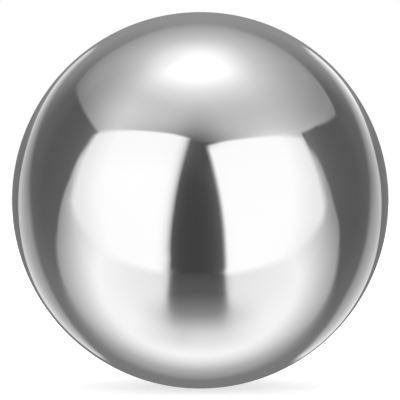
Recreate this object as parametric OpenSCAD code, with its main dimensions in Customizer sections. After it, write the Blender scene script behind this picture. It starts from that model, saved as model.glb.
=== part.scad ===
// A steel ball: one solid sphere, ground and lapped round all over.
// Millimetres, +Z up. The origin is the ball's centre.

/* [Ball] */
// Diameter of the ball
ball_d = 25.4; // [1:0.1:100]

/* [Hidden] */

// A ball is measured across, and its curve is drawn from its centre
ball_r = ball_d / 2;
// Steps around the ball in a preview; the finished surface is a true sphere
steps_round = 180;

// The whole ball: solid right through, with no flat, hole, seam or coating
module ball() {
    color("silver")
        sphere(r = ball_r, $fn = steps_round);
}

ball();
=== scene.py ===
import math

import bpy
import numpy as np
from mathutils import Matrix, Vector


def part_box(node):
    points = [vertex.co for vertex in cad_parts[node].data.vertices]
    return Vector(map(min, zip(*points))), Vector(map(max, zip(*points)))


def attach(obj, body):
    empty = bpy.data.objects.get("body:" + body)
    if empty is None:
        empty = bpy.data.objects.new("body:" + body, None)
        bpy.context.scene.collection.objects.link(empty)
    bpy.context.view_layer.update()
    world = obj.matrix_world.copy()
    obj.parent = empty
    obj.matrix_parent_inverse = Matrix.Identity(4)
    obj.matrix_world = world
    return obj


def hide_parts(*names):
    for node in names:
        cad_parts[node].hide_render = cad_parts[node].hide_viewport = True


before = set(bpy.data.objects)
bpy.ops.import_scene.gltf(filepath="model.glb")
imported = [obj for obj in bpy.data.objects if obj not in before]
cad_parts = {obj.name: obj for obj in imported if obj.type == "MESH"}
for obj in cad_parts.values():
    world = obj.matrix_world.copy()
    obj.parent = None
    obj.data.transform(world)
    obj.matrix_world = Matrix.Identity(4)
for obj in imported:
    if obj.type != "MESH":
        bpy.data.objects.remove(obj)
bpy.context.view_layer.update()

mm = 0.001
ballLow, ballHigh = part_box("ball")
ballCentre = Vector([round(c, 5) for c in (ballLow + ballHigh) / 2])
ballRadius = max(ballHigh - ballLow) / 2
print("the packed ball is", round(2 * ballRadius / mm, 2), "mm across")


# sRGB hex text to linear red, green, blue and alpha
def linearColour(hexText):
    srgb = np.array([int(hexText[i:i + 2], 16) / 255 for i in (1, 3, 5)])
    return (*[float(c) for c in linearTone(srgb)], 1.0)


# an sRGB share from 0 to 1 to linear light: a straight foot, then a power of 2.4
def linearTone(share):
    return np.where(share <= 0.04045, share / 12.92, ((share + 0.055) / 1.055) ** 2.4)


# adds one node: settings are its own properties, links go from an input's name or number to a value
# or to another node's output
def addNode(tree, kind, settings=None, links=None):
    node = tree.nodes.new(kind)
    for name, value in (settings or {}).items():
        setattr(node, name, value)
    for name, value in (links or {}).items():
        if isinstance(value, bpy.types.NodeSocket):
            tree.links.new(value, node.inputs[name])
        else:
            node.inputs[name].default_value = value
    return node


# a new node material with an empty tree
def emptyMaterial(name):
    material = bpy.data.materials.new(name)
    material.use_nodes = True
    material.node_tree.nodes.clear()
    return material, material.node_tree


# puts points and quads into a mesh object with smooth shading
def makeMesh(name, points, quads, material):
    mesh = bpy.data.meshes.new(name)
    mesh.vertices.add(len(points))
    mesh.vertices.foreach_set("co", points.astype(np.float32).ravel())
    mesh.loops.add(quads.size)
    mesh.loops.foreach_set("vertex_index", quads.astype(np.int32).ravel())
    mesh.polygons.add(len(quads))
    mesh.polygons.foreach_set("loop_start", np.arange(0, quads.size, 4, dtype=np.int32))
    mesh.polygons.foreach_set("use_smooth", np.ones(len(quads), bool))
    mesh.update(calc_edges=True)
    mesh.validate()
    mesh.materials.append(material)
    piece = bpy.data.objects.new(name, mesh)
    bpy.context.scene.collection.objects.link(piece)
    return piece


ball = {
    "cells": 96,  # grid cells along each face of the cube sphere
    "light": "#D6D6D6",  # chrome steel where the lap has cut finest
    "dark": "#D2D2D2",  # and where it has cut least
    "driftSize": 5.0,  # mm, patches where the lap has cut a little more or less
    "driftSpan": (0.3, 0.7),  # noise heights between which the gloss drifts
    "roughness": (0.018, 0.032),  # between the lines, least and most
    "lapDepth": 0.00008,  # mm, height of a lapping line
    "lapWidth": 0.14,  # mm: the real lines are under 0.001 mm wide, drawn as coarse as they can show
    "lapLength": 7.0,  # mm along a line before it runs out
    "lapCrest": (0.62, 0.78),  # noise heights between which a line rises
    "lapHaze": 0.022,  # roughness that the lines add
    "lapTurns": ((0, 20, 0), (75, 0, 40), (25, 80, 10), (60, 50, 100)),  # degrees: the ball tumbles
}


# Cube sphere: each cube face is a grid of two angles a and b from -45 to 45 degrees, a point is
# face + right * tan(a) + up * tan(b) pushed out to length 1, and the borders of the faces are welded
def cubeSphere(cells):
    angles = np.linspace(-math.pi / 4, math.pi / 4, cells + 1)
    a, b = np.meshgrid(np.tan(angles), np.tan(angles), indexing="ij")
    index = np.arange((cells + 1) ** 2).reshape(cells + 1, cells + 1)
    corners = (index[:-1, :-1], index[1:, :-1], index[1:, 1:], index[:-1, 1:])
    quads = np.stack(corners, -1).reshape(-1, 4)
    points = []
    faces = []
    for axis in range(3):
        for sign in (1, -1):
            out = np.roll([sign, 0, 0], axis)
            right = np.roll([0, 1, 0], axis)
            up = np.roll([0, 0, sign], axis)
            grid = out + a[..., None] * right + b[..., None] * up
            faces.append(quads + len(points) * index.size)
            points.append((grid / np.linalg.norm(grid, axis=-1, keepdims=True)).reshape(-1, 3))
    points = np.concatenate(points)
    found = np.unique(np.round(points, 9) + 0.0, axis=0, return_index=True, return_inverse=True)
    return points[found[1]], found[2].reshape(-1)[np.concatenate(faces)]


# Through-hardened chrome steel, ground and then lapped between iron plates with fine paste: a grey
# mirror, with a faint drift in its gloss and hair-thin lapping lines that cross in every direction
def lappedChromeSteel(settings):
    material, tree = emptyMaterial("lappedChromeSteel")
    place = addNode(tree, "ShaderNodeTexCoord").outputs["Object"]
    drift = addNode(tree, "ShaderNodeTexNoise", None, {
        "Vector": place, "Scale": 1 / (settings["driftSize"] * mm), "Detail": 3.0}).outputs[0]
    tint = addNode(tree, "ShaderNodeMix", {"data_type": "RGBA"}, {
        0: drift, 6: linearColour(settings["light"]), 7: linearColour(settings["dark"])})
    gloss = addNode(tree, "ShaderNodeMapRange", None, {
        0: drift, 1: settings["driftSpan"][0], 2: settings["driftSpan"][1],
        3: settings["roughness"][0], 4: settings["roughness"][1]})
    width = 1 / (settings["lapWidth"] * mm)
    length = 1 / (settings["lapLength"] * mm)
    lines = 0.0
    for turn in settings["lapTurns"]:
        tumbled = [math.radians(angle) for angle in turn]
        drawn = addNode(tree, "ShaderNodeMapping", None, {
            "Vector": place, "Rotation": tumbled, "Scale": (width, width, length)})
        streaks = addNode(tree, "ShaderNodeTexNoise", None, {
            "Vector": drawn.outputs[0], "Scale": 1.0, "Detail": 1.0})
        crests = addNode(tree, "ShaderNodeMapRange", {"interpolation_type": "SMOOTHSTEP"}, {
            0: streaks.outputs[0], 1: settings["lapCrest"][0], 2: settings["lapCrest"][1]})
        crossing = addNode(tree, "ShaderNodeMath", {"operation": "MAXIMUM"}, {
            0: crests.outputs[0], 1: lines})
        lines = crossing.outputs[0]
    rough = addNode(tree, "ShaderNodeMath", {"operation": "MULTIPLY_ADD"}, {
        0: lines, 1: settings["lapHaze"], 2: gloss.outputs[0]})
    relief = addNode(tree, "ShaderNodeBump", None, {
        "Height": lines, "Distance": settings["lapDepth"] * mm, "Strength": 1.0})
    steel = addNode(tree, "ShaderNodeBsdfPrincipled", None, {
        "Base Color": tint.outputs[2], "Metallic": 1.0, "Roughness": rough.outputs[0],
        "Normal": relief.outputs[0]})
    addNode(tree, "ShaderNodeOutputMaterial", None, {"Surface": steel.outputs[0]})
    return material


print("turning the ball and lapping its surface")
spherePoints, sphereQuads = cubeSphere(ball["cells"])
ballPiece = makeMesh("lapped_ball", np.array(ballCentre) + spherePoints * ballRadius, sphereQuads,
                     lappedChromeSteel(ball))
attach(ballPiece, "root")
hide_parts("ball")


# The studio. A mirror ball shows nothing but what stands round it, so a light tent surrounds it: its
# tones are the greys, 0 to 255, that the steel shows of each part of the tent. A place on the tent is
# its right, up and front share of a unit length, or its azimuth (0 in front, + to the right) and
# elevation in degrees.


# smooth step: 0 below low, 1 above high, 3 s^2 - 2 s^3 between
def ramp(value, low, high):
    share = np.clip((value - low) / (high - low), 0, 1)
    return share * share * (3 - 2 * share)


# under where cover is 0, over where it is 1
def mix(under, over, cover):
    return under + (over - under) * cover


# a soft hump, 1 at the middle
def hump(value, middle, width):
    return np.exp(-((value - middle) / width) ** 2)


brightest = 262  # tone of the whitest cloth, a little over the white that a picture holds

ceiling = {
    "low": 136,  # tone at 40 degrees up
    "rise": 2.35,  # more for every degree above that
    "overhead": 22,  # more again right over the ball
    "facing": (26, 44),  # more towards the front: at every height, and low down only
    "shade": 110,  # how far it darkens above the slot between the banks
    "shadeWidth": (22, 18),  # degrees, left and right half
    "bankGlow": (15, 16),  # light that the left and right bank throw on the cloth above them
    "edgeGlow": 9,  # the lit hem on the right
    "rearGlow": (8, 9),  # low down at the back, and high up at the left
}


def ceilingTone(azimuth, elevation):
    s = ceiling
    away = np.abs(azimuth)
    rightward = ramp(azimuth, -30, 50)
    tone = s["low"] + s["rise"] * (elevation - 40) + s["overhead"] * ramp(elevation, 64, 82)
    facingRight = (1 - ramp(away, 45, 125)) * (1 - 0.18 * ramp(elevation, 40, 50))
    facing = mix(1 - ramp(away, 60, 115), facingRight, rightward)
    tone = tone + (s["facing"][0] + s["facing"][1] * (1 - ramp(elevation, 38, 60))) * facing
    shade = s["shade"] * (np.clip(66 - elevation, 0, 32) / 32) ** 2
    tone = tone - shade / (1 + ((azimuth + 2) / mix(*s["shadeWidth"], rightward)) ** 2)
    nearHem = (np.clip(43 - elevation, 0, 9) / 6) ** 2
    leftGlow = hump(azimuth, -60, 16) * (0.4 + 0.8 * nearHem) * (1 - ramp(elevation, 50, 60))
    tone = tone + s["bankGlow"][0] * leftGlow + s["bankGlow"][1] * hump(azimuth, 48, 20) * nearHem
    tone = tone + s["edgeGlow"] * nearHem * ramp(azimuth, -10, 10)
    tone = tone + s["rearGlow"][0] * hump(away, 122, 20) * hump(elevation, 43, 6)
    tone = tone + s["rearGlow"][1] * hump(azimuth, -110, 35) * hump(elevation, 70, 6)
    return np.clip(tone, 0, brightest)


# the ceiling's hem, in degrees of elevation
hem = {
    "front": (20, 75),  # its height in front, out of sight behind the banks, and how far round that goes
    "left": 37.2, "leftBow": 0.0045, "leftClimb": 11.1,  # at the side, how it bows, and up to the back
    "right": 29.4, "rightLean": 0.12, "rightClimb": 18.1,
    "backDrop": 1.7,  # less again at the back, where the two meet
    "soft": (0.9, 2.1, 2),  # half its blur: at the side, and more on the way to the back and there
    "leftCrisp": 0.45,  # how much crisper the left is
}


def hemHeight(azimuth):
    away = np.abs(azimuth)
    left = hem["left"] - hem["leftBow"] * np.clip(away - 107, -30, 25) ** 2
    left = left + hem["leftClimb"] * ramp(away, 129, 158)
    climb = 1 - np.exp(-(np.clip(away - 116, 0, 64) / 22) ** 1.3)
    right = hem["right"] + hem["rightLean"] * np.clip(117 - away, 0, 27)
    right = right + hem["rightClimb"] * climb - hem["backDrop"] * ramp(away, 162, 176)
    front, turned = hem["front"]
    return np.where(away < turned, front, np.where(azimuth < 0, left, right))


# how much of the ceiling shows
def ceilingCover(azimuth, elevation, right):
    away = np.abs(azimuth)
    side, turn, back = hem["soft"]
    soft = turn * ramp(away, 122, 136) + back * ramp(away, 150, 175)
    soft = side + soft * (1 - hem["leftCrisp"] * ramp(-right, 0, 0.2))
    height = hemHeight(azimuth)
    return ramp(elevation, height - soft, height + soft)


walls = {
    "side": 86,  # the dark cloth at either side
    "leftLight": 8,  # more on the left wall, low down
    "lowLight": 8,  # more on both, near the table
    "turnLight": 8,  # more where they turn to the back
    "bankLight": 24,  # more beside the banks
    "bankFade": 9,  # degrees in which that fades
    "behind": (108, 130),  # behind the ball, below and above the horizon
    "behindLight": 0.5,  # more there for every degree away from the horizon
    "hemShade": 11,  # less under the ceiling's hem, either side of straight behind
}


def wallTone(azimuth, elevation):
    s = walls
    away = np.abs(azimuth)
    side = s["side"] + s["leftLight"] * ramp(-elevation, -12, 22) * ramp(-azimuth, 60, 100)
    side = side + s["lowLight"] * ramp(-elevation, 5, 30) + s["turnLight"] * ramp(away, 108, 125)
    side = side + s["bankLight"] * np.exp(-np.clip(away - 79, 0, 90) / s["bankFade"])
    behind = mix(*s["behind"], ramp(elevation, 6, 17))
    behind = behind + s["behindLight"] * np.clip(np.abs(elevation) - 17, 0, 20)
    behind = behind - s["hemShade"] * ramp(elevation, 28, 36) * hump(away, 151, 14)
    return mix(side, behind, ramp(away, 125, 155))


table = {
    "level": 115,  # tone at the limit of the table
    "rise": 231,  # more towards the ball's foot
    "top": 250,  # the lit paper
    "frontFall": 28,  # less towards the front
    "footShade": 27,  # less right under the ball
    "frontShade": 36,  # less just in front of its foot
    "rearShade": 10,  # less behind it
    "shoulder": 18,  # tones below the top within which the paper levels off
    "lean": (1.85, 0.055),  # how its limit leans to the front and to the right
    "limit": -0.012, "limitSoft": 0.025,  # where it ends at the sides, and half the blur there
    "rearLimit": 0.006, "rearSoft": 0.12,  # further for every degree towards the back, and the blur
}


def tableTone(right, up, front):
    s = table
    rise = s["level"] - s["rise"] * (up - 0.75 * front + 0.03 * right) / 1.25
    shoulder = np.clip(rise - s["top"] + s["shoulder"], 0, s["shoulder"])
    tone = np.minimum(rise, s["top"]) - 0.012 * shoulder ** 2
    tone = tone - s["rearShade"] * ramp(-front, 0.3, 0.6) * hump(rise, 185, 30)
    sideways = np.abs(right)
    foot = (1 + 0.3 * ramp(-right, 0, 0.15)) * (1 - ramp(sideways, 0.1, 0.52))
    foot = foot * (1 - ramp(-front, -0.05, 0.3))
    fore = np.clip(front, 0, 0.2) * (1 - ramp(sideways, 0.3, 0.6))
    shade = (s["footShade"] * foot + s["frontShade"] * fore) * (1 - ramp(front, 0.2, 0.5))
    return np.clip(tone, s["level"] + 1, s["top"]) - s["frontFall"] * np.clip(front, 0, 1) - shade


# how much of the table shows: it ends in a slanting line, which bends in a little at either side
def tableCover(azimuth, elevation, right, up, front):
    s = table
    away = np.abs(azimuth)
    toFront, toRight = s["lean"]
    depth = (up - toFront * front + toRight * right) / 2.1
    limit = s["limit"] + s["rearLimit"] * np.clip(away - 98, 0, 84) + 0.012 * hump(elevation, -15, 8)
    limit = limit - 0.017 * hump(elevation, -1, 7) * (azimuth > 0) + 0.004 * np.clip(elevation - 9.5, 0, 16)
    soft = s["limitSoft"] + s["rearSoft"] * ramp(away, 105, 150)
    return (1 - ramp(depth, limit - soft, limit + soft)) * (1 - ramp(elevation, 18, 28))


# light that the banks spill on the table beside them
spill = {
    "left": (76, 82, 11), "right": (55, 80, 9),  # tone, where it starts and how fast it fades, degrees
    "fall": 15,  # degrees below the horizon in which it fades
    "most": 252,  # tone of the table with it
}


def spillTone(azimuth, elevation):
    away = np.abs(azimuth)
    left, right = [tone * np.exp(-np.clip(away - start, 0, 90) / fade)
                   for tone, start, fade in (spill["left"], spill["right"])]
    return np.where(azimuth < 0, left, right) * np.exp(np.minimum(elevation, 0) / spill["fall"])


# the two lit banks in front: what they share, then each on its own
bothBanks = {
    "topSoft": (0.026, 0.02),  # half the blur of the top, and how much more far out
    "outerSoft": (3.2, 4),  # degrees, half the blur of the outer side, and how much more low down
    "foot": (-46, 0.0044, 0.025),  # elevation in front, and how it rises further out and at the end
    "footSoft": (3, 3.5),  # degrees, half its blur, and how much more far out
    "outerDim": 22,  # less towards the outer side
    "cornerReach": 0.06,  # how far the dark upper corner reaches in
}
rightBank = {
    "side": 1,  # 1 on the right, -1 on the left
    "tone": 256, "topDim": 1.5,  # and less near its top
    "top": 0.714, "topFace": 33,  # rise over reach of its top, and the azimuth at which it faces the ball
    "topBend": 0.66, "topDroop": 0.001,  # how it falls away from there, and more beside the slot
    "topFade": 40,  # degrees out where the top starts to blur
    "inner": 0.237, "innerBend": 0.168,  # its inner side, and how that bows in with height
    "innerFoot": 0.0,  # how much further in at the foot
    "innerSoft": (-0.030, 0.040),  # where the inner side starts and where it is full
    "innerTone": 246, "innerGlow": 0.05,  # tone at the inner side, and reach in which that turns to full
    "corner": 90,  # less in the upper inner corner
    "outer": 80.0, "outerLean": 0.19, "outerBend": 0.0,  # degrees out where it ends, and less higher up
}
leftBank = {
    "side": -1,
    "tone": 256, "topDim": 4,
    "top": 0.826, "topFace": -31,
    "topBend": 0.72, "topDroop": 0.0017,
    "topFade": 45,
    "inner": 0.300, "innerBend": 0.165,
    "innerFoot": 0.01,
    "innerSoft": (-0.022, 0.002),
    "innerTone": 160, "innerGlow": 0.033,
    "corner": 0,
    "outer": 82.7, "outerLean": 0.12, "outerBend": 0.006,
}


# how far inside a bank's inner side a place is: the side bows in with height
def insideBank(right, up, s):
    edge = s["inner"] - s["innerBend"] * np.clip(up + 0.5, 0, None) ** 2
    return s["side"] * right - edge + s["innerFoot"] * ramp(-up, 0.45, 0.58)


# tone and cover of one bank; its top is level in the room, so its rise goes with the cosine of azimuth
def bankTone(azimuth, elevation, right, up, s):
    both = bothBanks
    out = s["side"] * azimuth
    turned = np.clip(np.cos(np.radians(azimuth - s["topFace"])), 0.02, 1)
    rise = np.tan(np.radians(np.clip(elevation, -80, 80)))
    top = s["top"] * turned ** s["topBend"] - s["topDroop"] * np.clip(20 - out, 0, 20)
    topSoft = both["topSoft"][0] + both["topSoft"][1] * ramp(out, s["topFade"], s["topFade"] + 25)
    inner = insideBank(right, up, s)
    depth = np.clip(inner, 0, None)
    outer = s["outer"] - s["outerLean"] * np.clip(elevation + 4, 0, None)
    outer = outer - s["outerBend"] * np.clip(elevation - 20, 0, None) ** 2 + 1.3 * ramp(-elevation, 4, 12)
    outerSoft = both["outerSoft"][0] + both["outerSoft"][1] * ramp(-elevation, 8, 24)
    lowest, rising, ending = both["foot"]
    foot = lowest + rising * np.clip(out, 0, 90) ** 2 + ending * np.clip(out - 60, 0, 30) ** 2
    footSoft = both["footSoft"][0] + both["footSoft"][1] * ramp(out, 40, 72)
    tone = s["innerTone"] + (s["tone"] - s["innerTone"]) * (1 - np.exp(-depth / s["innerGlow"]))
    tone = tone - s["corner"] * ramp(elevation, 29, 34) * np.exp(-depth / both["cornerReach"])
    tone = tone - both["outerDim"] * ramp(out, s["outer"] - 26, s["outer"] - 2)
    tone = tone - s["topDim"] * ramp(elevation, 12, 30)
    cover = ramp(inner, *s["innerSoft"]) * (1 - ramp(rise, top - topSoft, top + topSoft)) * (out > 0)
    cover = cover * (1 - ramp(out, outer - outerSoft, outer + outerSoft))
    return tone, cover * ramp(elevation, foot - footSoft, foot + footSoft)


# the dark slot between the banks, and the strip of table in its shade
slot = {
    "dark": (61, 78),  # tone from its middle to its top
    "lower": 75,  # where the table starts
    "lowerRise": (11, 3),  # more just below that, and then for every degree
    "left": -0.283, "right": 0.231,  # its sides at half its height
    "footIn": (0.026, 0.06),  # how far the right and left side turn in at the foot
    "soft": (0.03, 0.06),  # of its sides, from the middle to its foot
    "glow": ((40, 0.09), (30, 0.07)),  # light from the right and left bank: tone and reach
}


def slotTone(elevation, right, up):
    first, then = slot["lowerRise"]
    lower = slot["lower"] + first * ramp(-elevation, 44, 54) + then * np.clip(-elevation - 56, 0, 40)
    rightGlow, leftGlow = [tone * np.exp(np.minimum(insideBank(right, up, side), 0.02) / reach)
                           for side, (tone, reach) in zip((rightBank, leftBank), slot["glow"])]
    dark = mix(*slot["dark"], ramp(elevation, 8, 34))
    dark = dark + rightGlow * (1 - ramp(elevation, 10, 30)) + leftGlow
    return mix(dark, lower, ramp(-elevation, 43, 45))


# how much of the slot shows: a soft step d / sqrt(d^2 + soft^2) across each side, d inside it
def slotCover(elevation, right, up, front):
    bend = np.clip(up + 0.5, 0, None) ** 2
    wider = 0.12 * ramp(elevation, -43, -34)
    soft = mix(*slot["soft"], ramp(-elevation, 54, 76))
    rightIn, leftIn = slot["footIn"]
    rightSide = slot["right"] + wider - rightIn * ramp(-elevation, 62, 76) - rightBank["innerBend"] * bend
    leftSide = slot["left"] - wider + leftIn * ramp(-elevation, 54, 84) + leftBank["innerBend"] * bend
    fromRight = rightSide - right
    fromLeft = right - leftSide
    cover = 0.25 * (1 + fromRight / np.hypot(fromRight, soft)) * (1 + fromLeft / np.hypot(fromLeft, soft))
    return cover * (1 - ramp(elevation, 32.5, 35.5)) * ramp(front, 0, 0.34)


# places of the strips are in degrees out from straight behind the ball
rearStrips = {
    "wide": 60, "up": 37, "down": (39, 46),  # how far they reach, down at the left and at the right
    "leftRaise": 3,  # how much higher the left one hangs
    "flag": (34, 35.5, 14),  # the dark flag between them: half width left and right, half height
    "start": (22, 5, 1.3),  # how near the middle, nearer at the lower right, less at the upper right
    "innerSlant": (0.6, 0.1),  # slant of their inner ends, and more of it above the horizon
    "ends": (0.45, 15, 21),  # slant of their outer ends, and where they fade
    "tone": (96, 127),  # at their outer side, in the upper and the lower half
    "rise": (280, 150), "upperRise": 70,  # more towards the middle, and more again near the upper ends
    "most": 184, "mostMore": (40, 10, 18),  # and more at the upper right, in the lower half, near the ends
}


# two curved strip lights behind the ball, which show as bright lines just inside its outline
def rearTone(right, up, front):
    s = rearStrips
    off = np.degrees(np.arccos(np.clip(-front, -1, 1)))
    reach = np.maximum(np.hypot(right, up), 1e-6)
    wide = off * np.abs(right) / reach
    high = off * up / reach
    raised = high + s["leftRaise"] * ramp(-right, 0, 0.2)
    down = mix(*s["down"], ramp(right, -0.1, 0.1))
    outer = np.hypot(wide / s["wide"], raised / np.where(raised > 0, s["up"], down))
    upper = ramp(high, 6, 20)
    upperRight = upper * ramp(right, 0, 0.2)
    lower = ramp(-high, -8, 8)
    lowerRight = ramp(-high, 2, 8) * ramp(right, 0, 0.1)
    moreRight, moreLow, moreEnds = s["mostMore"]
    most = s["most"] + moreRight * upperRight + moreLow * lower + moreEnds * ramp(np.abs(high), 6, 16)
    tone = mix(*s["tone"], lower) + (mix(*s["rise"], lower) + s["upperRise"] * upper) * (1 - outer)
    flagLeft, flagRight, flagHigh = s["flag"]
    # the flag is a superellipse of power 3
    flagWide = wide / mix(flagLeft, flagRight, ramp(right, -0.1, 0.1))
    flag = (flagWide ** 3 + (np.abs(high - 0.1 * wide) / flagHigh) ** 3) ** (1 / 3)
    nearest, nearer, further = s["start"]
    start = nearest - nearer * lowerRight + further * upperRight
    cover = ramp(flag, 0.98, 1.06) * ramp(off, start - 2.5, start + 2.5) * (1 - ramp(outer, 0.86, 1))
    slant = s["innerSlant"][0] + s["innerSlant"][1] * ramp(high, -5, 5)
    cover = cover * ramp(wide - slant * np.abs(high), -1.5, 1.5)
    endSlant, fadeFrom, fadeTo = s["ends"]
    ends = np.abs(high) - endSlant * np.minimum(wide, 26)
    return np.minimum(tone, most), cover * (1 - ramp(ends, fadeFrom, fadeTo))


# the whole tent, from the walls to what stands in front of them
def tentTone(right, up, front):
    azimuth = np.degrees(np.arctan2(right, front))
    elevation = np.degrees(np.arcsin(np.clip(up, -1, 1)))
    tone = wallTone(azimuth, elevation)
    strips, cover = rearTone(right, up, front)
    tone = mix(tone, np.maximum(strips, tone), cover)
    tone = mix(tone, ceilingTone(azimuth, elevation), ceilingCover(azimuth, elevation, right))
    lit = np.minimum(tableTone(right, up, front) + spillTone(azimuth, elevation), spill["most"])
    tone = mix(tone, lit, tableCover(azimuth, elevation, right, up, front))
    tone = mix(tone, slotTone(elevation, right, up), slotCover(elevation, right, up, front))
    for settings in (rightBank, leftBank):
        tone = mix(tone, *bankTone(azimuth, elevation, right, up, settings))
    return np.clip(tone, 0, brightest)


tent = {
    "radius": 3.0,  # metres
    "steps": (720, 360),  # round, and from pole to pole: half a degree each
}
steelReflectance = linearColour(ball["light"])[0]


def stageMesh(name, points, quads, material):
    piece = makeMesh(name, points, quads, material)
    return piece


# quads between neighbouring rows of a grid of points that closes on itself
def closedGridQuads(rows, columns):
    index = np.arange(rows * columns).reshape(rows, columns)
    nextRow = np.roll(index, -1, axis=0)
    return np.stack([index[:, :-1], index[:, 1:], nextRow[:, 1:], nextRow[:, :-1]], -1).reshape(-1, 4)


# Tent: a sphere as a grid of azimuth and elevation, with the light that each point gives in an
# attribute: its tone in linear light over the steel's reflectance
def lightTent():
    around, tall = tent["steps"]
    azimuth, elevation = np.meshgrid(np.linspace(-math.pi, math.pi, around, endpoint=False),
                                     np.linspace(-math.pi / 2, math.pi / 2, tall + 1), indexing="ij")
    right = np.cos(elevation) * np.sin(azimuth)
    front = np.cos(elevation) * np.cos(azimuth)
    up = np.sin(elevation)
    points = np.stack([right, -front, up], -1).reshape(-1, 3) * tent["radius"] + np.array(ballCentre)
    glow = linearTone(tentTone(right, up, front) / 255) / steelReflectance
    material, tree = emptyMaterial("litTentCloth")
    material.cycles.emission_sampling = "NONE"
    tone = addNode(tree, "ShaderNodeAttribute", {"attribute_name": "glow"})
    light = addNode(tree, "ShaderNodeEmission", None, {"Strength": tone.outputs["Fac"]})
    addNode(tree, "ShaderNodeOutputMaterial", None, {"Surface": light.outputs[0]})
    cloth = stageMesh("light_tent", points, closedGridQuads(around, tall + 1), material)
    layer = cloth.data.attributes.new("glow", "FLOAT", "POINT")
    layer.data.foreach_set("value", glow.astype(np.float32).ravel())
    for ray in ("camera", "diffuse", "transmission", "volume_scatter", "shadow"):
        setattr(cloth, "visible_" + ray, False)  # only the steel's reflections see it


print("raising the light tent")
lightTent()

floor = {
    "radius": 6.0,  # metres
    "steps": (96, 60),  # round, and out from the middle
    "hole": 0.1,  # mm, radius of the hole in its middle, under the ball
    "gap": 0.02,  # mm under the ball, so the two don't touch
    "colour": "#FAFAFA", "roughness": 0.9,
    "glow": 0.35,  # keeps the paper as light as the room behind it
}


# White background paper, matt: a flat grid of angle and reach
def paperFloor():
    around, outward = floor["steps"]
    angle, reach = np.meshgrid(np.linspace(0, 2 * math.pi, around, endpoint=False),
                               np.linspace(floor["hole"] * mm, floor["radius"], outward), indexing="ij")
    points = np.stack([ballCentre[0] + reach * np.cos(angle), ballCentre[1] + reach * np.sin(angle),
                       np.full(angle.shape, ballLow[2] - floor["gap"] * mm)], -1)
    material, tree = emptyMaterial("whiteBackgroundPaper")
    paper = addNode(tree, "ShaderNodeBsdfPrincipled", None, {
        "Base Color": linearColour(floor["colour"]), "Roughness": floor["roughness"],
        "Specular IOR Level": 0.0, "Emission Color": linearColour(floor["colour"]),
        "Emission Strength": floor["glow"]})
    addNode(tree, "ShaderNodeOutputMaterial", None, {"Surface": paper.outputs[0]})
    sheet = stageMesh("paper_floor", points.reshape(-1, 3), closedGridQuads(*angle.shape), material)
    sheet.visible_glossy = False


print("laying the floor")
paperFloor()

world = bpy.data.worlds.new("whiteRoom")
world.use_nodes = True
room = world.node_tree.nodes["Background"]
room.inputs["Color"].default_value = (1, 1, 1, 1)
room.inputs["Strength"].default_value = 1.0
bpy.context.scene.world = world

# soft lights: place from the ball's centre in metres, size in metres, power in watts
softLights = {
    "overhead": ((0, 0, 0.6), 0.5, 1.2),
    "leftBank": ((-0.4, -0.5, 0.3), 0.3, 0.4),
    "rightBank": ((0.4, -0.5, 0.3), 0.3, 0.4),
}

print("hanging the lights")
for name, (place, size, power) in softLights.items():
    lamp = bpy.data.lights.new(name, "AREA")
    lamp.size = size
    lamp.energy = power
    holder = bpy.data.objects.new(name, lamp)
    bpy.context.scene.collection.objects.link(holder)
    holder.location = ballCentre + Vector(place)
    holder.rotation_euler = (ballCentre - holder.location).to_track_quat("-Z", "Y").to_euler()
    holder.visible_camera = False
    holder.visible_glossy = False

view = {
    "lens": 200,  # mm
    "sensor": 36,  # mm
    "ballShare": 0.4707,  # the ball's apparent radius over the frame's width
    "shift": (-0.0006, 0.0008),  # share of the frame, to place the ball
    "clipStart": 0.01,  # metres
}

print("setting the camera")
lens = bpy.data.cameras.new("camera")
lens.lens = view["lens"]
lens.sensor_width = view["sensor"]
lens.clip_start = view["clipStart"]
lens.shift_x, lens.shift_y = view["shift"]
camera = bpy.data.objects.new("camera", lens)
bpy.context.scene.collection.objects.link(camera)
halfAngle = math.atan(view["ballShare"] * view["sensor"] / view["lens"])
camera.location = ballCentre + Vector((0, -ballRadius / math.sin(halfAngle), 0))  # level with the centre
camera.rotation_euler = (math.pi / 2, 0, 0)
bpy.context.scene.camera = camera
bpy.context.scene.view_settings.view_transform = "Standard"
